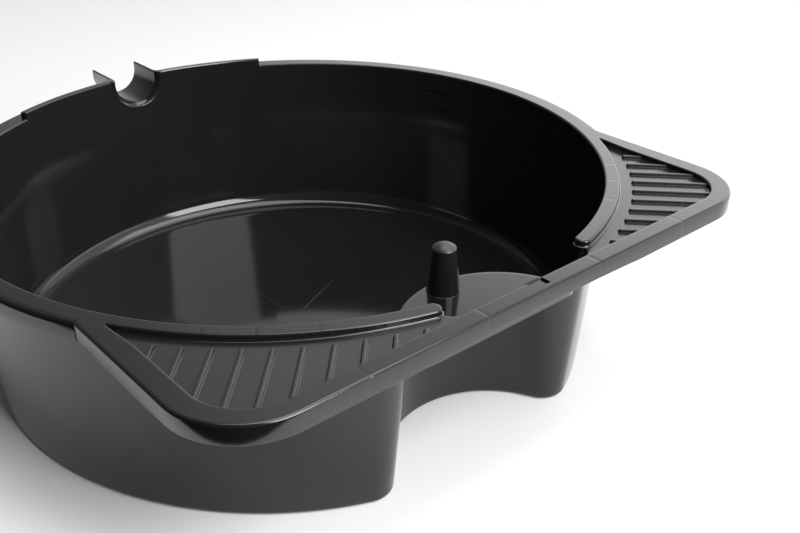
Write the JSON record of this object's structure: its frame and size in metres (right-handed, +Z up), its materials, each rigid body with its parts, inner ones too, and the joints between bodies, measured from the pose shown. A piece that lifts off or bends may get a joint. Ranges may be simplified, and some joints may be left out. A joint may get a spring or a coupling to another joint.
{
  "type": "oil drain pan",
  "caption": "Round open drain pan in black plastic with wing trays, a hand recess, a filter peg, a half-round pour notch and a front bar with a hang slot.",
  "frame": {"origin": "on the basin's axis, in the plane the pan stands on", "axes": "+Z up along the basin's axis, +Y through the pour notch, the straight front bar faces -Y, and +X is to the right seen from the front bar"},
  "size_m": [0.3628, 0.389, 0.1081],
  "materials": {
    "pan_satin": "semi-gloss moulded black polypropylene",
    "pan_gloss": "polished black polypropylene",
    "tray_satin": "satin black polypropylene"
  },
  "bodies": {
    "root": {"basin_floor": "pan_gloss", "base_curve": "pan_satin", "wall_back": "pan_satin", "wall_back_left": "pan_satin", "wall_back_right": "pan_satin", "wall_left": "pan_satin", "wall_right": "pan_satin", "wall_front_left": "pan_satin", "wall_front_right": "pan_satin", "recess_wall": "pan_satin", "recess_post_left": "pan_satin", "recess_post_right": "pan_satin", "recess_cheek_left": "pan_satin", "recess_cheek_right": "pan_satin", "filter_platform": "pan_satin", "front_panel": "pan_satin", "opening_ledge": "pan_satin", "filter_peg": "pan_gloss", "rim_left": "pan_satin", "rim_right": "pan_satin", "rim_back_left": "pan_satin", "rim_back_right": "pan_satin", "splash_lip_left": "pan_satin", "splash_lip_right": "pan_satin", "pour_channel": "pan_satin", "pour_flare": "pan_satin", "bead_left": "pan_satin", "bead_right": "pan_satin", "tray_left": "tray_satin", "tray_right": "tray_satin", "side_border_left": "pan_satin", "side_border_right": "pan_satin", "corner_border_left": "pan_satin", "corner_border_right": "pan_satin", "front_bar": "pan_satin", "gusset_left": "pan_satin", "gusset_right": "pan_satin", "volume_marks": "tray_satin", "rib_left_1": "tray_satin", "rib_left_2": "tray_satin", "rib_left_3": "tray_satin", "rib_left_4": "tray_satin", "rib_left_5": "tray_satin", "rib_left_6": "tray_satin", "rib_left_7": "tray_satin", "rib_left_8": "tray_satin", "rib_left_9": "tray_satin", "rib_left_10": "tray_satin", "rib_right_1": "tray_satin", "rib_right_2": "tray_satin", "rib_right_3": "tray_satin", "rib_right_4": "tray_satin", "rib_right_5": "tray_satin", "rib_right_6": "tray_satin", "rib_right_7": "tray_satin", "rib_right_8": "tray_satin", "rib_right_9": "tray_satin", "rib_right_10": "tray_satin"}
  },
  "joints": []
}
